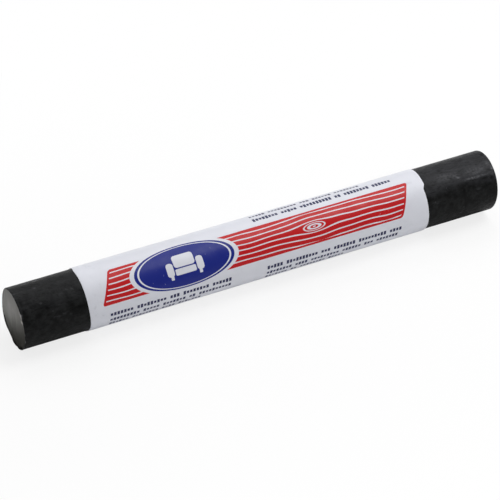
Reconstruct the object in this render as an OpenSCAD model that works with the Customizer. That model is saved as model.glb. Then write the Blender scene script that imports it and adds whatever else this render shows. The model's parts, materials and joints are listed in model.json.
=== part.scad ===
// Furniture repair wax stick: a solid stick of filler wax in a paper label.
// The stick lies along X on the plane z = 0, with its cut end at -X, its cast end at +X
// and the middle of its length over the origin. The front of the label faces -Y and up.

/* [Wax stick] */
// Diameter of the wax stick
stick_d = 12.7; // [8:0.1:25]
// Length of the wax stick, end to end
stick_len = 106.4; // [100:0.1:160]
// Rounding of the sharp rim at the cut end
cut_rim = 0.2; // [0.05:0.05:1]
// Rounding of the soft rim at the cast end
cast_rim = 0.9; // [0.1:0.05:2]

/* [Paper label] */
// Length of the label along the stick
label_len = 76.2; // [40:0.1:85]
// Bare wax between the cut end and the label
cut_bare = 13.7; // [2:0.1:14]
// Thickness of the label paper
paper_t = 0.12; // [0.06:0.01:0.3]
// Gap between the wax and the label, where nothing presses on the paper
slip_gap = 0.08; // [0.05:0.01:0.2]
// Gap left underneath, where the stick's weight presses the paper flat
pressed_gap = 0.03; // [0.01:0.01:0.04]
// Width of the lap where the label covers its own edge
lap_w = 5; // [3:0.1:10]
// Width of the ramp where the paper climbs over its own edge
ramp_w = 0.8; // [0.4:0.1:1.5]
// Angle at which the lap starts, from straight down towards the back
lap_angle = 28; // [25:1:240]

/* [Lap glue] */
// Thickness of the glue in the lap
glue_t = 0.03; // [0.01:0.01:0.1]
// Width of the glue in the lap
glue_w = 3.4; // [1:0.1:8]
// Bare paper at each end of the glue
glue_inset = 1.5; // [0:0.1:10]

/* [Hidden] */
// Fine enough that the thin layers of paper and glue stay clear of each other
$fn = 240;

// The label is one strip of paper: the wrap goes once round the wax, the ramp climbs
// over the wrap's first edge, and the flap lies on the wrap with the glue between them.
// The wrap is round but for the flat underneath, on which the stick lies.
stick_r = stick_d / 2;
wrap_r = stick_r + slip_gap;
wrap_out_r = wrap_r + paper_t;
flap_r = wrap_out_r + glue_t;
flap_out_r = flap_r + paper_t;

// Places and widths along the paper, as angles round the stick
flat_half = acos((stick_r + pressed_gap) / wrap_r);
lap_end = lap_angle + degrees_of(lap_w, flap_r);
lap_mid = (lap_angle + lap_end) / 2;
ramp_span = degrees_of(ramp_w, wrap_r);
ramp_angle = lap_angle - ramp_span;
slit_end = lap_end + ramp_span;
glue_span = degrees_of(glue_w, wrap_out_r);

axis_h = wrap_out_r * cos(flat_half);

function degrees_of(width, radius) = width / radius * 180 / PI;
function on_circle(radius, angle) = radius * [cos(angle), sin(angle)];

// Lays what is built up along Z, from z = 0 at the cut end, down along X.
// An angle of 0 round the stick then points straight down, and 90 to the back.
module lay_along_x() {
    translate([-stick_len / 2, 0, axis_h])
        rotate([0, 90, 0])
            children();
}

// Half of the stick's outline, on the right of the axis, with both rims rounded
module stick_outline() {
    translate([0, cut_rim])
        square([stick_r, stick_len - cut_rim - cast_rim]);
    square([stick_r - cut_rim, stick_len / 2]);
    translate([0, stick_len / 2])
        square([stick_r - cast_rim, stick_len / 2]);
    translate([stick_r - cut_rim, cut_rim])
        circle(cut_rim);
    translate([stick_r - cast_rim, stick_len - cast_rim])
        circle(cast_rim);
}

module wax_stick() {
    color("#1c1c1b")
        lay_along_x()
            rotate_extrude()
                stick_outline();
}

// Disc with its underside pressed flat
module pressed_disc(radius) {
    intersection() {
        circle(radius);
        translate([radius * cos(flat_half) - 2 * radius, -radius])
            square(2 * radius);
    }
}

// Sector of a disc, whose first side is given by points and whose second side is at an angle
module sector(radius, first_side, to) {
    reach = 2 * radius;
    intersection() {
        circle(radius);
        polygon(concat([[0, 0]], first_side, [on_circle(reach, lap_mid), on_circle(reach, to)]));
    }
}

// Sector under the lap that starts on the slope of the ramp, from the wrap's radius to the flap's
module lap_sector(foot_r, top_r, to) {
    foot = on_circle(foot_r, ramp_angle);
    top = on_circle(top_r, lap_angle);
    climb = top - foot;
    sector(top_r, [foot - climb, top + climb], to);
}

// Cross-section of the strip: the outside of the wrap and lap, less the bore and the slit in the lap
module label_section() {
    difference() {
        union() {
            pressed_disc(wrap_out_r);
            lap_sector(wrap_out_r, flap_out_r, lap_end);
        }
        pressed_disc(wrap_r);
        difference() {
            lap_sector(wrap_r, flap_r, slit_end);
            sector(wrap_out_r, [on_circle(flap_out_r, lap_angle)], slit_end + ramp_span);
        }
    }
}

module paper_label() {
    color("#e9e9ec")
        lay_along_x()
            translate([0, 0, cut_bare])
                linear_extrude(label_len)
                    label_section();
}

module lap_glue() {
    color("#e6dcb4")
        lay_along_x()
            translate([0, 0, cut_bare + glue_inset])
                rotate([0, 0, lap_mid - glue_span / 2])
                    rotate_extrude(angle = glue_span)
                        translate([wrap_out_r, 0])
                            square([glue_t, label_len - 2 * glue_inset]);
}

wax_stick();
paper_label();
lap_glue();
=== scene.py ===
# Furniture repair wax stick: a stick of black filler wax in a printed paper label.
import json
import math
import random
from collections import namedtuple

import bpy
from mathutils import Euler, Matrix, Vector, noise


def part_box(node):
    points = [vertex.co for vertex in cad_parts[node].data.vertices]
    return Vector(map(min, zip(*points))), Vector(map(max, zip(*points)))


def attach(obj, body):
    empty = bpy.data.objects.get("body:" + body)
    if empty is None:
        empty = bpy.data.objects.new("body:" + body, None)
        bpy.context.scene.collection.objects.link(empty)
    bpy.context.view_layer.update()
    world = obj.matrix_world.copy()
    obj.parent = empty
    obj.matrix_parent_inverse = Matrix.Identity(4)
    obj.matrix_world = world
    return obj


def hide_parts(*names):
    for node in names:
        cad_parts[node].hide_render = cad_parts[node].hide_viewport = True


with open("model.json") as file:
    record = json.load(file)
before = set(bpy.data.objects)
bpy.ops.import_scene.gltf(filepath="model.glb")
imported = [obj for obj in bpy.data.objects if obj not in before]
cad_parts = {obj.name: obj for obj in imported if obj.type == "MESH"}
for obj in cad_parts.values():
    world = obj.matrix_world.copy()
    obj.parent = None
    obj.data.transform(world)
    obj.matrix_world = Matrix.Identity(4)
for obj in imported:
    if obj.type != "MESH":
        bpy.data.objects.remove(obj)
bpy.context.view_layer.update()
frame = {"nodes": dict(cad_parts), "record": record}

# Shapes are worked out in millimetres, and made in metres
MM = 0.001

# Sizes of the real pieces, from the frame
wax_low, wax_high = (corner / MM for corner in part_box("wax_stick"))
label_low, label_high = (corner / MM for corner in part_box("paper_label"))
slide_low, slide_high = (limit / MM for limit in frame["record"]["behaviour"]["joints"][0]["range_m"])
stick_r = (wax_high.y - wax_low.y) / 2
axis_h = (wax_high.z + wax_low.z) / 2
wrap_out_r = (label_high.y - label_low.y) / 2
label_len = label_high.x - label_low.x
label_middle = (label_high.x + label_low.x) / 2


def around(x, radius, angle):
    """Point at an angle round the stick: 0 is straight down, 90 the back, 180 the top and 270 the front."""
    turn = math.radians(angle)
    return Vector((x, radius * math.sin(turn), axis_h - radius * math.cos(turn)))


def smooth(low, high, value):
    """Climbs smoothly from 0 at low to 1 at high."""
    share = min(max((value - low) / (high - low), 0), 1)
    return share * share * (3 - 2 * share)


def spread(start, stop, step):
    """Evenly spaced values from start to just short of stop, about a step apart."""
    count = max(round((stop - start) / step), 1)
    return [start + (stop - start) * number / count for number in range(count)]


def near(value, middle, width):
    """1 at the middle value, and less away from it."""
    return math.exp(-((value - middle) / width) ** 2)


def lumps(place, size):
    """Soft noise from 0 to 1, whose lumps are about size wide."""
    return 0.5 + 0.5 * noise.noise(place / size)


def make_piece(name, points, faces, materials, body, node):
    """Makes a mesh piece that rides on a body and stands for a node of the frame."""
    mesh = bpy.data.meshes.new(name)
    mesh.from_pydata([point * MM for point in points], [], faces)
    for material in materials:
        mesh.materials.append(material)
    mesh.shade_smooth()
    piece = bpy.data.objects.new(name, mesh)
    bpy.context.scene.collection.objects.link(piece)
    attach(piece, body)
    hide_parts(node)
    return piece


class Nodes:
    """Short calls that build the nodes of one material."""

    # A mix node has sockets for several kinds of value, and these are its colours
    FIRST_COLOUR, SECOND_COLOUR, MIXED_COLOUR = 6, 7, 2

    def __init__(self, name):
        self.material = bpy.data.materials.new(name)
        self.material.use_nodes = True
        self.tree = self.material.node_tree
        self.tree.nodes.clear()

    def feed(self, socket, value):
        if isinstance(value, bpy.types.NodeSocket):
            self.tree.links.new(value, socket)
        else:
            socket.default_value = value

    def add(self, kind, inputs=None, **settings):
        node = self.tree.nodes.new(kind)
        for name, value in settings.items():
            setattr(node, name, value)
        for name, value in (inputs or {}).items():
            self.feed(node.inputs[name], value)
        return node

    def math(self, operation, *values):
        node = self.add("ShaderNodeMath", operation=operation)
        for socket, value in zip(node.inputs, values):
            self.feed(socket, value)
        return node.outputs[0]

    def vector(self, operation, *values):
        node = self.add("ShaderNodeVectorMath", operation=operation)
        for socket, value in zip(node.inputs, values):
            self.feed(socket, value)
        return node.outputs["Value" if operation in ("LENGTH", "DOT_PRODUCT") else "Vector"]

    def split(self, place):
        node = self.add("ShaderNodeSeparateXYZ", {"Vector": place})
        return node.outputs["X"], node.outputs["Y"], node.outputs["Z"]

    def join(self, x, y, z=0.0):
        return self.add("ShaderNodeCombineXYZ", {"X": x, "Y": y, "Z": z}).outputs["Vector"]

    def noise(self, place, scale, detail=2.0, roughness=0.5):
        inputs = {"Vector": place, "Scale": scale, "Detail": detail, "Roughness": roughness}
        return self.add("ShaderNodeTexNoise", inputs).outputs["Fac"]

    def band(self, value, low, high, start=0.0, stop=1.0):
        """Climbs from start to stop as value goes from low to high."""
        inputs = {"Value": value, "From Min": low, "From Max": high, "To Min": start, "To Max": stop}
        return self.add("ShaderNodeMapRange", inputs, interpolation_type="SMOOTHSTEP").outputs["Result"]

    def mix(self, share, first, second):
        node = self.add("ShaderNodeMix", data_type="RGBA")
        self.feed(node.inputs["Factor"], share)
        self.feed(node.inputs[self.FIRST_COLOUR], first)
        self.feed(node.inputs[self.SECOND_COLOUR], second)
        return node.outputs[self.MIXED_COLOUR]

    def bump(self, height, distance, normal=None):
        inputs = {"Height": height, "Distance": distance}
        if normal is not None:
            inputs["Normal"] = normal
        return self.add("ShaderNodeBump", inputs).outputs["Normal"]

    def surface(self, **inputs):
        """Ends the material in one Principled shader with these inputs."""
        named = {name.replace("_", " "): value for name, value in inputs.items()}
        shader = self.add("ShaderNodeBsdfPrincipled", named)
        self.add("ShaderNodeOutputMaterial", {"Surface": shader.outputs[0]})
        return self.material


# Wax

WAX_BLACK = (0.0050, 0.0053, 0.0053, 1)
WAX_CHARCOAL = (0.0146, 0.0152, 0.0154, 1)
WAX_DUST_AND_SHEEN = (0.036, 0.0365, 0.041, 1)
WAX_SCUFFED = (0.058, 0.059, 0.064, 1)
WAX_CHIPPED = (0.34, 0.345, 0.37, 1)
WAX_PITTED = (0.0008, 0.0008, 0.0008, 1)
WAX_CUT = (0.225, 0.222, 0.208, 1)
# The cut face's dark grey serves its streaks and its painted shade towards the rim; the next is its painted
# shade low at the front
WAX_CUT_DARK = (0.098, 0.095, 0.086, 1)
WAX_CUT_PAINTED_SHADE = (0.024, 0.023, 0.018, 1)
WAX_FLAKED = (0.46, 0.44, 0.41, 1)

# Each noise's lumps to the metre, its layers of finer lumps, and how strong these are
BLOTCH_NOISE = (620, 4, 0.62)
STREAK_NOISE = (1150, 3, 0.6)
PATCH_NOISE = (160, 2)
PITTING_NOISE = (2600, 3, 0.65)
# Streaks and pitting are drawn out along the stick, where they have this share of the lumps
DRAWN_OUT = 0.35
# Each band's two levels of a noise, and the shares of a look that it goes between, if not 0 and 1
CHARCOAL_BAND = (0.36, 0.68)
PITTING_BAND = (0.30, 0.48, 0.55, 0.0)
# Dust and a painted sheen on the upper side, which is painted lighter as if lit from above: the heights
# between which it starts, how far that wanders, its share of the colour at the cut end and at the cast end,
# and how streaks break it up
DUST_SHEEN_FROM, DUST_SHEEN_TO, DUST_SHEEN_WANDER = 9.6, 11.6, 3.0
DUST_SHEEN_AT_CUT, DUST_SHEEN_AT_CAST = 0.22, 0.80
DUST_SHEEN_STREAKS = (0.3, 0.7, 0.55, 1.0)
# Grey streaks, in some patches only, and their share of the colour
GREYED_STREAKS, GREYED_PATCHES, GREYED_SHARE = (0.56, 0.74), (0.45, 0.66), 0.55
# Grey specks: their cells to the metre, the share of cells without one, and their share of the colour,
# then how ragged they are and where their edges fade
SPECK_CELLS, SPECK_LEFT_OUT, SPECK_SHARE = 620, 0.86, 0.6
SPECK_RAGGED, SPECK_RAGGED_NOISE, SPECK_EDGE = 0.5, (4500, 2), (0.27, 0.36, 1.0, 0.0)
# Roughness of the wax, how much rougher pits are, its gloss, and the depths of its fine relief
WAX_ROUGH, PIT_ROUGH, WAX_GLOSS = (0.3, 0.7, 0.34, 0.48), 0.3, 0.066
BLOTCH_RELIEF, PITTING_RELIEF = 0.14, 0.06


def wax_material():
    nodes = Nodes("black_wax")
    place = nodes.add("ShaderNodeTexCoord").outputs["Object"]
    x, y, z = nodes.split(place)
    along = nodes.join(nodes.math("MULTIPLY", x, DRAWN_OUT), y, z)

    blotches = nodes.noise(place, *BLOTCH_NOISE)
    colour = nodes.mix(nodes.band(blotches, *CHARCOAL_BAND), WAX_BLACK, WAX_CHARCOAL)

    streaks = nodes.noise(along, *STREAK_NOISE)
    patches = nodes.noise(place, *PATCH_NOISE)
    # Dust and painted sheen: the upper side is painted lighter, more so towards the cast end
    height = nodes.math("MULTIPLY_ADD", nodes.math("SUBTRACT", patches, 0.5), DUST_SHEEN_WANDER * MM, z)
    dust_and_sheen = nodes.band(x, wax_low.x * MM, wax_high.x * MM, DUST_SHEEN_AT_CUT, DUST_SHEEN_AT_CAST)
    dust_and_sheen = nodes.math("MULTIPLY", dust_and_sheen, nodes.band(height, DUST_SHEEN_FROM * MM, DUST_SHEEN_TO * MM))
    dust_and_sheen = nodes.math("MULTIPLY", dust_and_sheen, nodes.band(streaks, *DUST_SHEEN_STREAKS))
    colour = nodes.mix(dust_and_sheen, colour, WAX_DUST_AND_SHEEN)
    greyed = nodes.band(streaks, *GREYED_STREAKS)
    greyed = nodes.math("MULTIPLY", greyed, nodes.band(patches, *GREYED_PATCHES))
    colour = nodes.mix(nodes.math("MULTIPLY", greyed, GREYED_SHARE), colour, WAX_SCUFFED)

    cells = nodes.add("ShaderNodeTexVoronoi", {"Vector": place, "Scale": SPECK_CELLS, "Randomness": 1.0})
    chosen = nodes.math("GREATER_THAN", nodes.split(cells.outputs["Color"])[0], SPECK_LEFT_OUT)
    ragged = nodes.noise(place, *SPECK_RAGGED_NOISE)
    ragged = nodes.math("MULTIPLY_ADD", ragged, SPECK_RAGGED, cells.outputs["Distance"])
    speck = nodes.math("MULTIPLY", nodes.band(ragged, *SPECK_EDGE), chosen)
    colour = nodes.mix(nodes.math("MULTIPLY", speck, SPECK_SHARE), colour, WAX_SCUFFED)

    # Grey of scuffs, chips and flakes, and the painted highlight of the rubbed patches along the top of the
    # cast end
    scuff = nodes.add("ShaderNodeAttribute", attribute_name="scuff").outputs["Fac"]
    colour = nodes.mix(scuff, colour, WAX_CHIPPED)
    # Dark of pits and dents, and the painted shade of the cut end's rim and burr
    pit = nodes.add("ShaderNodeAttribute", attribute_name="pit").outputs["Fac"]
    colour = nodes.mix(pit, colour, WAX_PITTED)

    pitting = nodes.noise(along, *PITTING_NOISE)
    colour = nodes.mix(nodes.band(pitting, *PITTING_BAND), colour, WAX_PITTED)
    roughness = nodes.band(blotches, *WAX_ROUGH)
    roughness = nodes.math("ADD", roughness, nodes.math("MULTIPLY", pit, PIT_ROUGH))
    normal = nodes.bump(blotches, BLOTCH_RELIEF * MM)
    normal = nodes.bump(pitting, PITTING_RELIEF * MM, normal)
    return nodes.surface(
        Base_Color=colour, Roughness=roughness, Normal=normal, Specular_IOR_Level=WAX_GLOSS
    )


# Noises of the cut face. Its streaks run up and down, where they have this share of the lumps
CUT_STREAK_NOISE, CUT_CLOUD_NOISE = (800, 4, 0.65), (420, 3)
CUT_STREAK_UP = 0.15
# Its tone is a mix of both, and goes from dark to pale between these levels of it
CUT_STREAK_SHARE, CUT_CLOUD_SHARE = 0.6, 0.4
CUT_BAND = (0.35, 0.65)
# Painted shade darkens it towards this angle, low at its front, between these distances that way from its
# middle, which wander, and towards its rim, between these radii
CUT_LOW_ANGLE, CUT_LOW_FROM, CUT_LOW_TO, CUT_LOW_WANDER = 330, -2.5, 4.8, 2.0
CUT_EDGE_FROM, CUT_EDGE_TO, CUT_EDGE_SHARE = 2.0, 5.8, 0.8
# Its roughness, how much rougher it is where it is dark, its gloss, and the depth of its streaks
CUT_ROUGH, CUT_LOW_ROUGH = (0.38, 0.52), 0.4
CUT_GLOSS, CUT_PIT_GLOSS = 0.3, 0.04
CUT_RELIEF = 0.05


def cut_material():
    """The cut end: grey and streaked by the blade, with painted shade towards its rim and low at its front.
    """
    nodes = Nodes("cut_wax")
    place = nodes.add("ShaderNodeTexCoord").outputs["Object"]
    x, y, z = nodes.split(place)
    streaks = nodes.noise(nodes.join(x, y, nodes.math("MULTIPLY", z, CUT_STREAK_UP)), *CUT_STREAK_NOISE)
    clouds = nodes.noise(place, *CUT_CLOUD_NOISE)
    level = nodes.math("ADD", nodes.math("MULTIPLY", streaks, CUT_STREAK_SHARE),
                       nodes.math("MULTIPLY", clouds, CUT_CLOUD_SHARE))
    colour = nodes.mix(nodes.band(level, *CUT_BAND), WAX_CUT_DARK, WAX_CUT)
    # Painted shade: darker towards the rim, and towards the lower front of the face
    from_axis = nodes.vector("SUBTRACT", place, (wax_low.x * MM, 0, axis_h * MM))
    radius = nodes.vector("LENGTH", from_axis)
    edge = nodes.band(radius, CUT_EDGE_FROM * MM, CUT_EDGE_TO * MM, 0.0, CUT_EDGE_SHARE)
    colour = nodes.mix(edge, colour, WAX_CUT_DARK)
    low_way = around(0, 1, CUT_LOW_ANGLE) - around(0, 0, 0)
    reach = nodes.vector("DOT_PRODUCT", from_axis, tuple(low_way))
    reach = nodes.math("MULTIPLY_ADD", nodes.math("SUBTRACT", clouds, 0.5), CUT_LOW_WANDER * MM, reach)
    low = nodes.band(reach, CUT_LOW_FROM * MM, CUT_LOW_TO * MM)
    colour = nodes.mix(low, colour, WAX_CUT_PAINTED_SHADE)
    scuff = nodes.add("ShaderNodeAttribute", attribute_name="scuff").outputs["Fac"]
    colour = nodes.mix(scuff, colour, WAX_FLAKED)
    # Dark of pits, and the painted shade of the rim and burr
    pit = nodes.add("ShaderNodeAttribute", attribute_name="pit").outputs["Fac"]
    colour = nodes.mix(pit, colour, WAX_PITTED)
    roughness = nodes.band(level, *CUT_BAND, *CUT_ROUGH)
    roughness = nodes.math("MULTIPLY_ADD", nodes.math("MAXIMUM", low, pit), CUT_LOW_ROUGH, roughness)
    normal = nodes.bump(streaks, CUT_RELIEF * MM)
    specular = nodes.band(pit, 0.0, 1.0, CUT_GLOSS, CUT_PIT_GLOSS)
    return nodes.surface(
        Base_Color=colour, Roughness=roughness, Normal=normal, Specular_IOR_Level=specular
    )


# Rounding of the two rims, and the turn on it from one ring of points to the next
CUT_RIM, CUT_RIM_TURN = 0.15, 18
CAST_RIM, CAST_RIM_TURN = 0.25, 9
# The cut end is sheared off on one side: the angle of that side, how far across it starts,
# and how deep it goes
SHEAR_ANGLE, SHEAR_START, SHEAR_DEPTH = 110, 4.6, 0.20
# How far the cast end is out of square, as a share of the way up it
CAST_SLANT = 0.065
# Length over which both fade along the stick
SLANT_REACH = 9
# The rim of the cut end is painted dark as shade round this angle, this far round from there, and this far
# in.
# That width is ragged: the least share of it, how much more the lumps add, and how wide they are
DARK_ANGLE, DARK_TURN, DARK_W = 36, 74, 0.9
DARK_LEAST, DARK_MORE, DARK_SIZE = 0.3, 1.4, 0.9
# Both rims are scuffed in lumps of this width, between these levels of them
RIM_SCUFF, RIM_SCUFF_SIZE, RIM_SCUFF_BAND = 0.30, 0.8, (0.52, 0.75)
# Depths and widths of the unevenness of the cast wax
LUMP_DEPTH, LUMP_SIZE = 0.045, 7
DIMPLE_DEPTH, DIMPLE_SIZE = 0.025, 1.9
GRAIN_DEPTH, GRAIN_SIZE = 0.008, 0.55
# How far the wax stands out between the hollows of that unevenness, above this height
SKIN_RAISE = 0.05
UNDERSIDE = 2.4
# Spacing of the mesh on the bare wax and under the label, and its columns round the stick
FINE_STEP = 0.25
HIDDEN_STEP = 1.5
WAX_COLUMNS = 200

# A mark on the wax: where it is, half its length and width, its depth, and how grey or dark it is.
# Its inset is how far it lies in from the side, on an end face. One of negative depth stands out
Mark = namedtuple("Mark", "x angle half_len half_width depth scuff pit inset", defaults=(0,))
# Dark dents and nicks
DENTS = [
    Mark(-47.7, 227.5, 0.42, 0.36, 0.12, 0, 1),
    Mark(-41.3, 241.0, 0.95, 0.24, 0.09, 0, 1),
    Mark(-51.2, 211.0, 1.00, 0.20, 0.04, 0, 0.6),
    Mark(-52.5, 224.6, 0.35, 0.80, 0.05, 0, 0.9),
    Mark(-52.5, 207.0, 0.30, 0.90, 0.04, 0, 0.7),
    Mark(45.4, 255.0, 0.20, 4.50, 0.025, 0, 0.4),
    Mark(50.6, 227.0, 1.30, 0.40, 0.03, 0, 0.7),
    Mark(52.1, 229.8, 0.50, 0.50, 0.06, 0, 0.9),
    Mark(52.4, 176.7, 0.50, 0.60, 0.05, 0, 0.7),
]
# Pale specks
SPECKS = [
    Mark(-48.7, 216.2, 0.25, 0.16, 0.03, 0.12, 0),
    Mark(-41.7, 206.3, 0.25, 0.17, 0.03, 0.12, 0),
    Mark(-42.7, 204.5, 0.22, 0.15, 0.03, 0.10, 0),
    Mark(-48.5, 182.5, 0.22, 0.18, 0.03, 0.18, 0),
    Mark(-43.2, 249.8, 0.20, 0.15, 0.03, 0.16, 0),
    Mark(-49.6, 159.0, 0.50, 0.25, 0.04, 0.25, 0),
    Mark(-47.1, 158.2, 0.60, 0.25, 0.04, 0.30, 0),
    Mark(44.6, 286.2, 0.25, 0.20, 0.03, 0.12, 0),
]
# Flakes on the rim of the cut end
FLAKES = [
    Mark(wax_low.x, 227.0, 0.15, 0.25, 0.05, 2.0, 0, 0.28),
    Mark(wax_low.x, 222.0, 0.15, 0.25, 0.04, 0.9, 0, 0.75),
    Mark(wax_low.x, 232.5, 0.15, 0.25, 0.05, 1.8, 0, 0.35),
    Mark(wax_low.x, 241.5, 0.15, 0.35, 0.05, 1.5, 0, 0.75),
]
# Burr that the blade pushed out over the rim of the cut end, in marks at these angles, painted dark as
# shade.
# It is high at the bottom, where it has gaps, and slight at the back
BURR_LOW = [*range(317, 338, 5), 343, *range(354, 370, 5)]
BURR_BACK = range(38, 59, 5)
BURR = [Mark(wax_low.x, angle, 0.12, 0.48, -0.09, 0, 1.3, 0.20) for angle in BURR_LOW]
BURR += [Mark(wax_low.x, angle, 0.12, 0.60, -0.042, 0, 1.8, 0.30) for angle in BURR_BACK]
# Patches along the top of the cast end, partly rubbed grey by handling and partly a painted highlight,
# broken up
RUBBED_AND_HIGHLIGHT = [
    Mark(42.8, 203.5, 2.60, 1.10, 0.01, 0.10, 0),
    Mark(45.2, 213.0, 0.35, 0.32, 0.02, 0.42, 0),
    Mark(44.6, 208.0, 0.90, 0.55, 0.02, 0.16, 0),
    Mark(49.5, 206.5, 2.40, 0.90, 0.02, 0.15, 0),
    Mark(48.9, 219.8, 2.60, 0.24, 0.03, 0.34, 0),
    Mark(49.6, 213.5, 1.80, 0.16, 0.02, 0.20, 0),
    Mark(52.2, 200.0, 0.40, 0.42, 0.02, 0.48, 0),
    Mark(52.8, 211.0, 0.30, 0.60, 0.03, 0.48, 0),
    Mark(52.5, 221.5, 0.40, 0.40, 0.03, 0.22, 0),
]
MARKS = DENTS + SPECKS + FLAKES + BURR + RUBBED_AND_HIGHLIGHT
# The grey of a mark is broken up into lumps of this width, between these levels of them,
# and this share of it is left below them
SCUFF_SIZE, SCUFF_BAND, SCUFF_LEAST = 0.45, (0.38, 0.66), 0.3
# A mark reaches this many of its half lengths along the stick
MARK_REACH = 2.5
# Stray marks: how many, their seed, and the distances from an end that they lie between,
# then the ranges of their half width, of how many times longer they are, and of the rest of a mark
STRAY_MARKS, STRAY_SEED = 60, 11
STRAY_FROM, STRAY_TO = 1, 20.2
STRAY_SIZE, STRAY_STRETCH = (0.15, 0.5), (1, 2)
STRAY_DEPTH, STRAY_SCUFF, STRAY_PIT = (0.02, 0.06), (0, 0.06), (0, 0.5)


def stray_marks():
    """Small dents scattered over the wax, the same ones each time."""
    draw = random.Random(STRAY_SEED)
    marks = []
    for number in range(STRAY_MARKS):
        reach = draw.uniform(STRAY_FROM, STRAY_TO)
        x = wax_low.x + reach if number % 2 else wax_high.x - reach
        size = draw.uniform(*STRAY_SIZE)
        depth = draw.uniform(*STRAY_DEPTH)
        scuff = draw.uniform(*STRAY_SCUFF)
        pit = draw.uniform(*STRAY_PIT)
        angle = draw.uniform(0, 360)
        half_len = size * draw.uniform(*STRAY_STRETCH)
        marks.append(Mark(x, angle, half_len, size, depth, scuff, pit))
    return marks


# A ring of points on the wax: its place, which way the skin faces there, and how far it is on a rim
Station = namedtuple("Station", "x radius normal_x normal_r rim")


def rim_stations(x, direction, rim, turns):
    """Stations round a rounded rim. The rim's end face looks along X in the given direction."""
    stations = []
    for turn in turns:
        across, out = math.cos(math.radians(turn)), math.sin(math.radians(turn))
        stations.append(Station(x - direction * rim * (1 - across), stick_r - rim * (1 - out),
                                direction * across, out, math.sin(math.radians(2 * turn))))
    return stations


def wax_stations():
    """Stations along the wax's outline, from beside the cut face's middle to beside the cast face's."""
    hidden_low, hidden_high = label_low.x + slide_high, label_high.x + slide_low
    cut_radii = spread(FINE_STEP / 4, stick_r - CUT_RIM, FINE_STEP)
    cut_face = [Station(wax_low.x, radius, -1, 0, 0) for radius in cut_radii]
    cut_rim = rim_stations(wax_low.x, -1, CUT_RIM, spread(0, 90, CUT_RIM_TURN))
    places = spread(wax_low.x + CUT_RIM, hidden_low, FINE_STEP)
    places += spread(hidden_low, hidden_high, HIDDEN_STEP)
    places += spread(hidden_high, wax_high.x - CAST_RIM, FINE_STEP)
    side = [Station(x, stick_r, 0, 1, 0) for x in places]
    cast_rim = rim_stations(wax_high.x, 1, CAST_RIM, [90 - turn for turn in spread(0, 90, CAST_RIM_TURN)])
    cast_radii = spread(stick_r - CAST_RIM, 0, FINE_STEP)
    cast_face = [Station(wax_high.x, radius, 1, 0, 0) for radius in cast_radii]
    return cut_face + cut_rim + side + cast_rim + cast_face


def slanted(place):
    """Moves a point along the stick, so that both ends are a little out of square."""
    at_cut = 1 - smooth(0, SLANT_REACH, place.x - wax_low.x)
    at_cast = 1 - smooth(0, SLANT_REACH, wax_high.x - place.x)
    across = (place - around(place.x, 0, 0)).dot(around(0, 1, SHEAR_ANGLE) - around(0, 0, 0))
    shear = SHEAR_DEPTH * smooth(SHEAR_START, stick_r, across)
    shift = at_cut * shear + at_cast * CAST_SLANT * (place.z - axis_h)
    return Vector((place.x + shift, place.y, place.z))


def wax_skin(station, angle, marks):
    """A point of the wax's skin, with how scuffed and pitted it is there, and if it is on the cut face."""
    place = around(station.x, station.radius, angle)
    outward = around(station.normal_x, station.normal_r, angle) - around(0, 0, 0)
    depth = LUMP_DEPTH * lumps(place, LUMP_SIZE) - SKIN_RAISE * smooth(0, UNDERSIDE, place.z)
    depth += DIMPLE_DEPTH * lumps(place, DIMPLE_SIZE)
    depth += GRAIN_DEPTH * lumps(place, GRAIN_SIZE)
    scuff = RIM_SCUFF * station.rim * smooth(*RIM_SCUFF_BAND, lumps(place, RIM_SCUFF_SIZE))
    # Painted shade on the rim of the cut end, carried with the dark of pits and burr
    dark_w = DARK_W * (DARK_LEAST + DARK_MORE * lumps(place, DARK_SIZE))
    painted_rim_shade = smooth(stick_r - dark_w, stick_r - dark_w / 2, station.radius) * max(-station.normal_x, 0)
    pit = painted_rim_shade * near((angle - DARK_ANGLE + 180) % 360, 180, DARK_TURN)
    broken = SCUFF_LEAST + (1 - SCUFF_LEAST) * smooth(*SCUFF_BAND, lumps(place, SCUFF_SIZE))
    for mark, centre in marks:
        reach = (place.x - centre.x) / mark.half_len
        if abs(reach) > MARK_REACH:
            continue
        aside = math.hypot(place.y - centre.y, place.z - centre.z) / mark.half_width
        share = math.exp(-reach * reach - aside * aside)
        depth += mark.depth * share
        scuff = max(scuff, min(mark.scuff * share * broken, 1))
        pit = max(pit, min(mark.pit * share, 1))
    return slanted(place - outward * depth), scuff, pit, station.normal_x == -1


def wax_stick():
    marks = [(mark, around(mark.x, stick_r - mark.inset, mark.angle)) for mark in MARKS + stray_marks()]
    stations = wax_stations()
    skin = [
        wax_skin(station, 360 * column / WAX_COLUMNS, marks)
        for station in stations
        for column in range(WAX_COLUMNS)
    ]
    cut_middle = Station(wax_low.x, 0, -1, 0, 0)
    cast_middle = Station(wax_high.x, 0, 1, 0, 0)
    skin += [wax_skin(cut_middle, 0, marks), wax_skin(cast_middle, 0, marks)]

    faces = []
    for row in range(len(stations) - 1):
        for column in range(WAX_COLUMNS):
            first = row * WAX_COLUMNS + column
            second = row * WAX_COLUMNS + (column + 1) % WAX_COLUMNS
            faces.append((first, second, second + WAX_COLUMNS, first + WAX_COLUMNS))
    last_row = (len(stations) - 1) * WAX_COLUMNS
    for column in range(WAX_COLUMNS):
        following = (column + 1) % WAX_COLUMNS
        faces.append((len(skin) - 2, following, column))
        faces.append((len(skin) - 1, last_row + column, last_row + following))

    piece = make_piece("wax_stick_skin", [entry[0] for entry in skin], faces,
                       [wax_material(), cut_material()], "stick", "wax_stick")
    for name, column in (("scuff", 1), ("pit", 2)):
        values = piece.data.attributes.new(name, "FLOAT", "POINT")
        values.data.foreach_set("value", [entry[column] for entry in skin])
    for polygon in piece.data.polygons:
        on_cut_face = all(skin[number][3] for number in polygon.vertices)
        polygon.material_index = 1 if on_cut_face else 0


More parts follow.
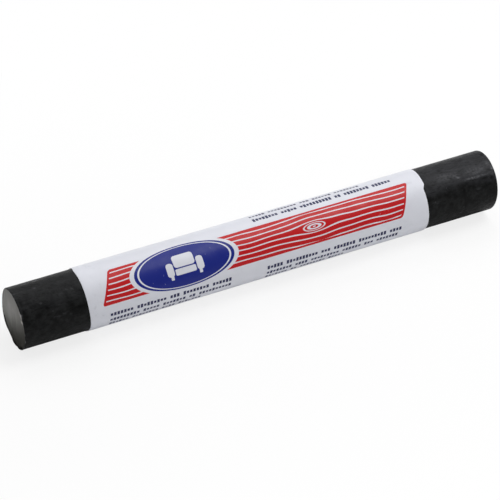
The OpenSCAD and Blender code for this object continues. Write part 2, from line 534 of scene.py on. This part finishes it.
# Label print. Places on the label are (millimetres from its left edge, millimetres up from its middle)

PAPER_WHITE = (0.740, 0.752, 0.815, 1)
PAPER_GREY = (0.655, 0.665, 0.715, 1)
PAPER_SMUDGED = (0.24, 0.25, 0.28, 1)
INK_BLUE = (0.006, 0.016, 0.215, 1)
INK_RED = (0.53, 0.005, 0.008, 1)
INK_NAVY = (0.018, 0.022, 0.085, 1)

# Noises and bands of the paper, as on the wax
CLOUD_NOISE, FIBRE_NOISE = (210, 3), (4200, 3, 0.7)
CREASE_NOISE, SMEAR_NOISE = (420, 4, 0.6), (900, 4, 0.65)
CLOUD_BAND = (0.3, 0.75, 0.0, 0.28)
# Smudges are smears, which have this share of the lumps across, in some of the creased places.
# They grow stronger from here to the paper's ends, in millimetres from its middle
SMEAR_ACROSS, SMEAR_BAND, CREASE_BAND = 0.5, (0.52, 0.72), (0.45, 0.65)
SMUDGE_FROM, SMUDGE_LEAST, SMUDGE_MOST = 28, 0.06, 0.22
# Where the print is worn, and how much of the ink is left there
WORN_NOISE, WORN_BAND = (1900, 3, 0.6), (0.70, 0.78, 1.0, 0.35)
# Roughness, gloss and depths of the fine relief, on the printed side and on the inside
PRINT_ROUGH, PRINT_GLOSS = (0.3, 0.7, 0.30, 0.44), 0.25
CREASE_RELIEF, FIBRE_RELIEF = 0.06, 0.006
INSIDE_ROUGH, INSIDE_GLOSS, INSIDE_RELIEF = (0.3, 0.7, 0.75, 0.90), 0.3, 0.012

# Oval badge with an armchair. Its ring and its white edge are shares of its size
OVAL_AT, OVAL_HALF = (21.5, 0.7), (10.9, 4.7)
OVAL_RING, OVAL_EDGE = (0.90, 0.935), 1.09
CHAIR_AT = (21.5, 0.6)
# Cushions of the armchair: middle, half size and rounding, on one side of its middle line
CHAIR_SHAPES = [
    ((0.0, 1.20), (2.25, 1.30), 0.6),
    ((0.0, -1.00), (2.25, 0.65), 0.3),
    ((3.25, -0.25), (0.75, 1.40), 0.6),
    ((3.10, -1.90), (0.32, 0.45), 0.1),
]
# Plank behind the badge, with slanted ends and wood grain
PLANK_AT, PLANK_HALF, PLANK_CORNER = (38.1, 0.7), (33.6, 3.6), 0.6
PLANK_LEAN, PLANK_MARGIN = 0.45, 0.45
# The plank's knot: place, radius, how many times longer than high it is, rings, and how many radii
# from its middle the grain wanders freely again
KNOT_AT, KNOT_R, KNOT_STRETCH = (50.5, 0.7), 0.85, 3.0
KNOT_RINGS, KNOT_CALM = 2, 3
# Least distance from the knot's middle that is divided by
LEAST_REACH = 0.01
# The plank's grain: pitch and half width of the lines, how far they wander, and how many lumps of that
# there are to the millimetre
WOOD_PITCH, WOOD_LINE, WOOD_WANDER = 1.10, 0.12, 1.3
WANDER_ALONG, WANDER_ACROSS = 0.085, 0.12
# Small blocks in rows: their pitch, half width as a share of it, and least height as a share of the row's.
# Each row draws its heights with numbers this far from the next row's
BLOCK_PITCH, BLOCK_SHARE, BLOCK_LEAST = 0.72, 0.37, 0.60
ROW_SEEDS = 100.0
# Each row's height up the label, half height, first block, and blocks in each group
BLOCK_ROWS = [
    (6.20, 0.55, 54, (8, 5, 10, 2, 8, 6)),
    (8.00, 0.45, 54, (5, 9, 3, 6, 8)),
    (-5.30, 0.50, 6, (7, 9, 3, 8, 6)),
    (-6.90, 0.50, 6, (9, 5, 7, 2, 10)),
    (-8.50, 0.50, 6, (6, 8, 4, 7)),
    (-5.30, 0.50, 54, (5, 10, 3, 7, 9, 4)),
    (-6.90, 0.50, 54, (8, 4, 9, 6, 3, 7)),
    (-8.50, 0.50, 54, (7, 2, 8, 5)),
    (11.20, 0.45, 10, (9, 4, 7, 10, 3, 6, 8, 5, 9, 4, 7)),
    (12.80, 0.45, 10, (5, 8, 2, 9, 6, 10, 4, 7, 3, 8, 6)),
    (14.40, 0.45, 10, (8, 6, 3, 10, 5, 7, 9, 2, 8, 4, 6)),
    (16.00, 0.45, 10, (7, 9, 5, 4, 8, 3, 6)),
]


def box_mask(nodes, place, middle, half, corner):
    """1 inside a box with rounded corners."""
    away = nodes.vector("ABSOLUTE", nodes.vector("SUBTRACT", place, (*middle, 0)))
    past = nodes.vector("SUBTRACT", away, (half[0] - corner, half[1] - corner, 1))
    past = nodes.vector("MAXIMUM", past, (0, 0, 0))
    return nodes.math("LESS_THAN", nodes.vector("LENGTH", past), corner)


def oval_mask(nodes, place, share):
    """1 inside the oval, drawn in to a share of its size."""
    away = nodes.vector("SUBTRACT", place, (*OVAL_AT, 0))
    away = nodes.vector("DIVIDE", away, (*OVAL_HALF, 1))
    return nodes.math("LESS_THAN", nodes.vector("LENGTH", away), share)


def chair_mask(nodes, place):
    """1 on the cushions of the armchair, which is the same on both sides of its middle line."""
    x, y, z = nodes.split(nodes.vector("SUBTRACT", place, (*CHAIR_AT, 0)))
    folded = nodes.join(nodes.math("ABSOLUTE", x), y)
    mask = 0.0
    for middle, half, corner in CHAIR_SHAPES:
        mask = nodes.math("MAXIMUM", mask, box_mask(nodes, folded, middle, half, corner))
    return mask


def plank_mask(nodes, place, inset):
    """1 inside the leaning plank, drawn in on all sides by the inset."""
    x, y, z = nodes.split(place)
    lean = nodes.math("MULTIPLY", nodes.math("SUBTRACT", y, PLANK_AT[1]), PLANK_LEAN)
    half = [size - inset for size in PLANK_HALF]
    return box_mask(nodes, nodes.join(nodes.math("SUBTRACT", x, lean), y), PLANK_AT, half, PLANK_CORNER)


def grain_mask(nodes, place):
    """1 on thin lines that flow along the plank and part round a knot, and on the rings of the knot."""
    x, y, z = nodes.split(nodes.vector("SUBTRACT", place, (*KNOT_AT, 0)))
    slow = nodes.join(nodes.math("MULTIPLY", x, WANDER_ALONG), nodes.math("MULTIPLY", y, WANDER_ACROSS))
    wander = nodes.noise(slow, 1.0, 1.0)
    wander = nodes.math("MULTIPLY", nodes.math("SUBTRACT", wander, 0.5), WOOD_WANDER)
    squeezed = nodes.join(nodes.math("DIVIDE", x, KNOT_STRETCH), y)
    reach = nodes.math("MAXIMUM", nodes.vector("LENGTH", squeezed), LEAST_REACH)
    parting = nodes.math("DIVIDE", KNOT_R * KNOT_R, nodes.math("MULTIPLY", reach, reach))
    stream = nodes.math("MULTIPLY", y, nodes.math("SUBTRACT", 1.0, parting))
    far = nodes.band(reach, KNOT_R, KNOT_CALM * KNOT_R)
    stream = nodes.math("ADD", stream, nodes.math("MULTIPLY", wander, far))
    flow = nodes.math("PINGPONG", nodes.math("ADD", stream, WOOD_PITCH / 2), WOOD_PITCH / 2)
    rings = nodes.math("PINGPONG", reach, KNOT_R / KNOT_RINGS / 2)
    inside = nodes.math("LESS_THAN", reach, KNOT_R)
    level = nodes.math("ADD", nodes.math("MULTIPLY", inside, rings),
                       nodes.math("MULTIPLY", nodes.math("SUBTRACT", 1.0, inside), flow))
    return nodes.math("LESS_THAN", level, WOOD_LINE)


def block_mask(nodes, place):
    """1 on the rows of small blocks, which stand in groups and are of uneven height."""
    x, y, z = nodes.split(place)
    cells = label_len / BLOCK_PITCH
    cell = nodes.math("DIVIDE", x, BLOCK_PITCH)
    whole = nodes.math("FLOOR", cell)
    middle = nodes.math("ADD", whole, 0.5)
    along = nodes.math("DIVIDE", middle, cells)
    aside = nodes.math("ABSOLUTE", nodes.math("SUBTRACT", cell, middle))
    block = nodes.math("LESS_THAN", aside, BLOCK_SHARE)
    mask = 0.0
    for number, (height, half_height, first, groups) in enumerate(BLOCK_ROWS):
        ramp = nodes.add("ShaderNodeValToRGB", {"Fac": along})
        ramp.color_ramp.interpolation = "CONSTANT"
        ramp.color_ramp.elements.remove(ramp.color_ramp.elements[1])
        ramp.color_ramp.elements[0].color = (0, 0, 0, 1)
        for blocks in groups:
            ramp.color_ramp.elements.new(first / cells).color = (1, 1, 1, 1)
            ramp.color_ramp.elements.new((first + blocks) / cells).color = (0, 0, 0, 1)
            first += blocks + 1
        seed = nodes.math("ADD", whole, ROW_SEEDS * number)
        draw = nodes.add("ShaderNodeTexWhiteNoise", {"W": seed}, noise_dimensions="1D").outputs["Value"]
        reach = nodes.band(draw, 0.0, 1.0, half_height * BLOCK_LEAST, half_height)
        away = nodes.math("ABSOLUTE", nodes.math("SUBTRACT", y, height))
        row = nodes.math("MULTIPLY", ramp.outputs["Color"], nodes.math("LESS_THAN", away, reach))
        mask = nodes.math("MAXIMUM", mask, row)
    return nodes.math("MULTIPLY", mask, block)


def paper_base(nodes, place):
    """Colour of the bare paper, with clouds and a little dirt from the wax, then its fibres and creases."""
    clouds = nodes.noise(place, *CLOUD_NOISE)
    fibres = nodes.noise(place, *FIBRE_NOISE)
    creases = nodes.noise(place, *CREASE_NOISE)
    colour = nodes.mix(nodes.band(clouds, *CLOUD_BAND), PAPER_WHITE, PAPER_GREY)

    x, y, z = nodes.split(place)
    from_middle = nodes.math("ABSOLUTE", nodes.math("SUBTRACT", x, label_middle * MM))
    handled = nodes.band(from_middle, SMUDGE_FROM * MM, label_len / 2 * MM, SMUDGE_LEAST, SMUDGE_MOST)
    smears = nodes.noise(nodes.join(x, nodes.math("MULTIPLY", y, SMEAR_ACROSS), z), *SMEAR_NOISE)
    smudges = nodes.math("MULTIPLY", nodes.band(smears, *SMEAR_BAND), nodes.band(creases, *CREASE_BAND))
    colour = nodes.mix(nodes.math("MULTIPLY", smudges, handled), colour, PAPER_SMUDGED)
    return colour, fibres, creases


def label_material():
    nodes = Nodes("label_print")
    spot = nodes.add("ShaderNodeUVMap", uv_map="print").outputs["UV"]
    place = nodes.add("ShaderNodeTexCoord").outputs["Object"]
    paper, fibres, creases = paper_base(nodes, place)

    oval = oval_mask(nodes, spot, 1.0)
    ring_inside, ring_outside = (oval_mask(nodes, spot, share) for share in OVAL_RING)
    ring = nodes.math("SUBTRACT", ring_outside, ring_inside)
    spared = nodes.math("MAXIMUM", ring, chair_mask(nodes, spot))
    blue = nodes.math("MULTIPLY", oval, nodes.math("SUBTRACT", 1.0, spared))
    grain = nodes.math("MULTIPLY", plank_mask(nodes, spot, PLANK_MARGIN), grain_mask(nodes, spot))
    red = nodes.math("SUBTRACT", plank_mask(nodes, spot, 0), grain)
    red = nodes.math("MULTIPLY", red, nodes.math("SUBTRACT", 1.0, oval_mask(nodes, spot, OVAL_EDGE)))
    navy = block_mask(nodes, spot)

    worn = nodes.band(nodes.noise(place, *WORN_NOISE), *WORN_BAND)
    colour = paper
    for mask, ink in ((blue, INK_BLUE), (red, INK_RED), (navy, INK_NAVY)):
        colour = nodes.mix(nodes.math("MULTIPLY", mask, worn), colour, ink)
    roughness = nodes.band(creases, *PRINT_ROUGH)
    normal = nodes.bump(creases, CREASE_RELIEF * MM)
    normal = nodes.bump(fibres, FIBRE_RELIEF * MM, normal)
    return nodes.surface(
        Base_Color=colour, Roughness=roughness, Normal=normal, Specular_IOR_Level=PRINT_GLOSS
    )


def paper_material():
    nodes = Nodes("label_inside")
    place = nodes.add("ShaderNodeTexCoord").outputs["Object"]
    paper, fibres, creases = paper_base(nodes, place)
    roughness = nodes.band(fibres, *INSIDE_ROUGH)
    normal = nodes.bump(fibres, INSIDE_RELIEF * MM)
    return nodes.surface(
        Base_Color=paper, Roughness=roughness, Normal=normal, Specular_IOR_Level=INSIDE_GLOSS
    )


# Label. The paper is one strip, which starts under the lap, goes once round and ends on top of its start

# Thicknesses of the paper and of the glue
PAPER_T = 0.12
GLUE_T = 0.03
# The lap: the angle where it starts, its width, and the width of the ramp that climbs to it
LAP_ANGLE, LAP_W, RAMP_W = 28, 5, 0.8
# The paper is free of the lap and of the floor between these angles: it comes free over the first two,
# and is held again over the last two
LOOSE_FROM, LOOSE_FULL, HELD_FROM, HELD_FULL = 78, 120, 300, 340
# Angle round the stick that faces the camera, which is the middle of the print
FACING_ANGLE = 229.35
# Waves of the paper: their height, and their length along it and round it
WAVE_HEIGHT, WAVE_LEN, WAVE_TURN = 0.04, 8, 26
# Its curl at the two ends: its height, reach and length round it. The noise of the ends is this far apart,
# and this far from that of the waves
CURL_HEIGHT, CURL_REACH, CURL_TURN = 0.02, 2.5, 30
CURL_APART, CURL_SEED = 9, 5
# How much closer than its own gap the paper lies on the wax, away from the lap
HUG = 0.05
# The cut edges of the paper are pressed thinner: by what share, and over what width
EDGE_THIN, EDGE_W = 0.4, 0.4
# The right edge steps out above this angle, and leans out further towards the back. The step takes
# this turn to each side, and the paper curls up beside it
STEP_ANGLE, STEP_OUT, STEP_LEAN = 210, 0.52, 0.004
STEP_TURN, STEP_CURL, STEP_CURL_TURN = 6, 0.05, 9
# The left edge draws in behind the top, and down the front
DRAW_IN, DRAW_FROM, DRAW_TO = 0.35, 170, 150
DRAW_LOW, DRAW_LOW_FROM, DRAW_LOW_TO = 0.30, 240, 305
# Both edges are ragged: by how much, the turn of a lump, and the place of its noise
RIGHT_RAGGED, RIGHT_TURN, RIGHT_SEED = 0.05, 6, 3
LEFT_RAGGED, LEFT_TURN, LEFT_SEED = 0.06, 8, 9
# How far in from an edge its shift reaches
SHIFT_REACH = 4
# Spacing of the mesh: the turn between columns, the step between rows, and the step of the finer rows
# at the ends, with how far in they go
STRIP_TURN = 1.25
STRIP_STEP = 0.8
END_STEP, END_REACH = 0.3, 3
# The strip starts this turn past the top of the ramp, and edges over this angle are sharp
STRIP_START, SHARP_ANGLE = 0.5, 50

wrap_r = wrap_out_r - PAPER_T
flap_r = wrap_out_r + GLUE_T
flat_half = math.degrees(math.acos(axis_h / wrap_out_r))
lap_end = 360 + LAP_ANGLE + math.degrees(LAP_W / flap_r)
ramp_angle = LAP_ANGLE - math.degrees(RAMP_W / wrap_r)


def strip_radius(angle):
    """Radius of the inside of the strip, which is flat where the stick lies on it."""
    past_bottom = angle - 360
    if abs(past_bottom) <= flat_half:
        return (axis_h - PAPER_T) / math.cos(math.radians(past_bottom))
    climb = smooth(ramp_angle, LAP_ANGLE, past_bottom)
    return wrap_r + climb * (flap_r - wrap_r)


def loose(angle):
    """1 where the paper is free of the lap and of the floor."""
    return smooth(LOOSE_FROM, LOOSE_FULL, angle) * (1 - smooth(HELD_FROM, HELD_FULL, angle))


def paper_lift(along, angle):
    """How far the paper stands off from where it would lie as a plain tube."""
    from_end = min(along, label_len - along)
    wave = WAVE_HEIGHT * lumps(Vector((along / WAVE_LEN, angle / WAVE_TURN, 0)), 1)
    wave *= smooth(0, CURL_REACH, from_end)
    curl = CURL_HEIGHT * lumps(Vector((angle / CURL_TURN, along / label_len * CURL_APART, CURL_SEED)), 1)
    curl *= 1 - smooth(0, CURL_REACH, from_end)
    step = STEP_CURL * near(angle, STEP_ANGLE, STEP_CURL_TURN)
    step *= 1 - smooth(0, CURL_REACH, label_len - along)
    return loose(angle) * (wave + curl + step - HUG)


def edge_shift(along, angle):
    """How far the paper's end stands out along the stick from a square cut."""
    above = 1 - smooth(STEP_ANGLE - STEP_TURN, STEP_ANGLE + STEP_TURN, angle)
    right = above * (STEP_OUT + STEP_LEAN * max(STEP_ANGLE - angle, 0))
    right += RIGHT_RAGGED * (lumps(Vector((angle / RIGHT_TURN, RIGHT_SEED, 0)), 1) - 0.5)
    left = LEFT_RAGGED * (lumps(Vector((angle / LEFT_TURN, LEFT_SEED, 0)), 1) - 0.5)
    left += DRAW_IN * smooth(-DRAW_FROM, -DRAW_TO, -angle)
    left += DRAW_LOW * smooth(DRAW_LOW_FROM, DRAW_LOW_TO, angle)
    right *= smooth(label_len - SHIFT_REACH, label_len, along)
    left *= 1 - smooth(0, SHIFT_REACH, along)
    return loose(angle) * (right + left)


def paper_label():
    turns = spread(LAP_ANGLE + STRIP_START, lap_end, STRIP_TURN) + [lap_end]
    rows = spread(0, END_REACH, END_STEP) + spread(END_REACH, label_len - END_REACH, STRIP_STEP)
    rows += spread(label_len - END_REACH, label_len, END_STEP) + [label_len]
    points, spots = [], []
    for thickness in (PAPER_T, 0):
        for along in rows:
            thinned = 1 - EDGE_THIN * (1 - smooth(0, EDGE_W, min(along, label_len - along)))
            for angle in turns:
                radius = strip_radius(angle) + paper_lift(along, angle) + thickness * thinned
                points.append(around(label_low.x + along + edge_shift(along, angle), radius, angle))
                spots.append((along, math.radians(FACING_ANGLE - angle) * wrap_out_r))

    width, inside = len(turns), len(rows) * len(turns)
    faces, printed = [], []

    def add(corners, on_outside=False):
        faces.append(corners)
        printed.append(on_outside)

    for row in range(len(rows) - 1):
        for column in range(width - 1):
            corner = row * width + column
            out = (corner, corner + 1, corner + width + 1, corner + width)
            add(out, True)
            add(tuple(inside + number for number in reversed(out)))
    for column in range(width - 1):
        last = (len(rows) - 1) * width + column
        add((column + 1, column, inside + column, inside + column + 1))
        add((last, last + 1, inside + last + 1, inside + last))
    for row in range(len(rows) - 1):
        start, stop = row * width, row * width + width - 1
        add((start, start + width, inside + start + width, inside + start))
        add((stop + width, stop, inside + stop, inside + stop + width))

    piece = make_piece("paper_label_strip", points, faces, [label_material(), paper_material()],
                       "sleeve", "paper_label")
    mesh = piece.data
    mesh.polygons.foreach_set("material_index", [0 if outside else 1 for outside in printed])
    layer = mesh.uv_layers.new(name="print")
    for loop in mesh.loops:
        layer.data[loop.index].uv = spots[loop.vertex_index]
    mesh.set_sharp_from_angle(angle=math.radians(SHARP_ANGLE))


# Glue in the lap, which keeps its own shape

GLUE_PALE = (0.80, 0.72, 0.45, 1)
GLUE_AMBER = (0.62, 0.52, 0.28, 1)
GLUE_NOISE, GLUE_ROUGH = (900, 3), (0.3, 0.7, 0.25, 0.45)
GLUE_RELIEF, GLUE_CLEAR = 0.02, 0.2


def glue_material():
    nodes = Nodes("dried_glue")
    place = nodes.add("ShaderNodeTexCoord").outputs["Object"]
    clouds = nodes.noise(place, *GLUE_NOISE)
    colour = nodes.mix(clouds, GLUE_PALE, GLUE_AMBER)
    return nodes.surface(
        Base_Color=colour, Roughness=nodes.band(clouds, *GLUE_ROUGH),
        Normal=nodes.bump(clouds, GLUE_RELIEF * MM), Transmission_Weight=GLUE_CLEAR
    )


def lap_glue():
    material = glue_material()
    for slot in frame["nodes"]["lap_glue"].material_slots:
        slot.material = material


# Studio, in metres

FLOOR_WHITE = (0.96, 0.96, 0.96, 1)
# The floor's flat radius, the width of its rim, which sweeps half as far up, and how far it lies
# below the part, then the counts of its mesh
FLOOR_R, FLOOR_RIM, FLOOR_DROP = 1.4, 0.5, 0.00001
FLOOR_RINGS, FLOOR_COLUMNS = 40, 96
# The camera sees the floor glow, and less so beside the stick, which leaves a faint shadow there:
# the distances from the stick's middle line between which that changes, and the shares of the glow
SHADOW_NEAR, SHADOW_FAR = 0.008, 0.09
GLOW_NEAR, GLOW_FAR = 0.80, 1.0
WORLD_LIGHT = 0.38
# Each lamp's place, size and power
LAMPS = {
    "overhead": ((0.34, -0.03, 0.55), (0.30, 0.42), 2.1),
    "behind": ((0.22, 0.45, 0.60), (0.60, 0.50), 2.0),
}

# The camera's place, the way it looks in degrees, and its lens and sensor in millimetres
CAMERA_AT = (-0.18525, -0.37889, 0.33183)
CAMERA_AZIMUTH, CAMERA_ELEVATION = -25.89, 37.71
CAMERA_LENS, CAMERA_SENSOR = 188.03, 36


def floor_material():
    """Diffuse white that keeps the shadow, and also glows: beside the stick for the camera alone."""
    nodes = Nodes("floor_white")
    x, y, z = nodes.split(nodes.add("ShaderNodeTexCoord").outputs["Object"])
    rays = nodes.add("ShaderNodeLightPath").outputs
    seen = nodes.math("MAXIMUM", rays["Is Camera Ray"], rays["Is Glossy Ray"])
    seen = nodes.math("MAXIMUM", seen, rays["Is Transmission Ray"])
    past_end = nodes.math("SUBTRACT", nodes.math("ABSOLUTE", x), wax_high.x * MM)
    reach = nodes.vector("LENGTH", nodes.join(nodes.math("MAXIMUM", past_end, 0.0), y))
    near_glow = nodes.math("MULTIPLY", rays["Is Camera Ray"], GLOW_NEAR)
    glow = nodes.math("MULTIPLY", seen, nodes.band(reach, SHADOW_NEAR, SHADOW_FAR, near_glow, GLOW_FAR))
    diffuse = nodes.add("ShaderNodeBsdfDiffuse", {"Color": FLOOR_WHITE})
    light = nodes.add("ShaderNodeEmission", {"Color": (1, 1, 1, 1), "Strength": 1.0})
    mixed = nodes.add("ShaderNodeMixShader", {"Fac": glow})
    nodes.feed(mixed.inputs[1], diffuse.outputs[0])
    nodes.feed(mixed.inputs[2], light.outputs[0])
    nodes.add("ShaderNodeOutputMaterial", {"Surface": mixed.outputs[0]})
    return nodes.material


def floor():
    """A wide disc whose rim sweeps up, so that no view looks past its edge."""
    points = [Vector((0, 0, -FLOOR_DROP))]
    faces = []
    for ring in range(1, FLOOR_RINGS + 1):
        reach = (FLOOR_R + FLOOR_RIM) * ring / FLOOR_RINGS
        height = FLOOR_RIM * smooth(FLOOR_R, FLOOR_R + 2 * FLOOR_RIM, reach) - FLOOR_DROP
        for column in range(FLOOR_COLUMNS):
            turn = 2 * math.pi * column / FLOOR_COLUMNS
            points.append(Vector((reach * math.cos(turn), reach * math.sin(turn), height)))
    for column in range(FLOOR_COLUMNS):
        following = (column + 1) % FLOOR_COLUMNS
        faces.append((0, 1 + column, 1 + following))
        for ring in range(FLOOR_RINGS - 1):
            low = 1 + ring * FLOOR_COLUMNS
            high = low + FLOOR_COLUMNS
            faces.append((low + column, high + column, high + following, low + following))
    mesh = bpy.data.meshes.new("floor")
    mesh.from_pydata(points, [], faces)
    mesh.materials.append(floor_material())
    mesh.shade_smooth()
    piece = bpy.data.objects.new("floor", mesh)
    bpy.context.scene.collection.objects.link(piece)


def light():
    world = bpy.data.worlds.new("studio")
    world.use_nodes = True
    background = world.node_tree.nodes["Background"]
    background.inputs["Color"].default_value = (1, 1, 1, 1)
    background.inputs["Strength"].default_value = WORLD_LIGHT
    bpy.context.scene.world = world

    for name, (place, size, power) in LAMPS.items():
        lamp = bpy.data.lights.new(name, "AREA")
        lamp.shape = "RECTANGLE"
        lamp.size, lamp.size_y = size
        lamp.energy = power
        softbox = bpy.data.objects.new(name, lamp)
        softbox.location = place
        softbox.rotation_euler = (-Vector(place)).to_track_quat("-Z", "Y").to_euler()
        bpy.context.scene.collection.objects.link(softbox)


def camera():
    view = bpy.data.cameras.new("camera")
    view.sensor_width = CAMERA_SENSOR
    view.lens = CAMERA_LENS
    holder = bpy.data.objects.new("camera", view)
    holder.location = CAMERA_AT
    holder.rotation_euler = Euler((math.radians(90 - CAMERA_ELEVATION), 0, math.radians(CAMERA_AZIMUTH)))
    bpy.context.scene.collection.objects.link(holder)
    bpy.context.scene.camera = holder


camera()
wax_stick()
paper_label()
lap_glue()
floor()
light()
bpy.context.scene.view_settings.view_transform = "Standard"
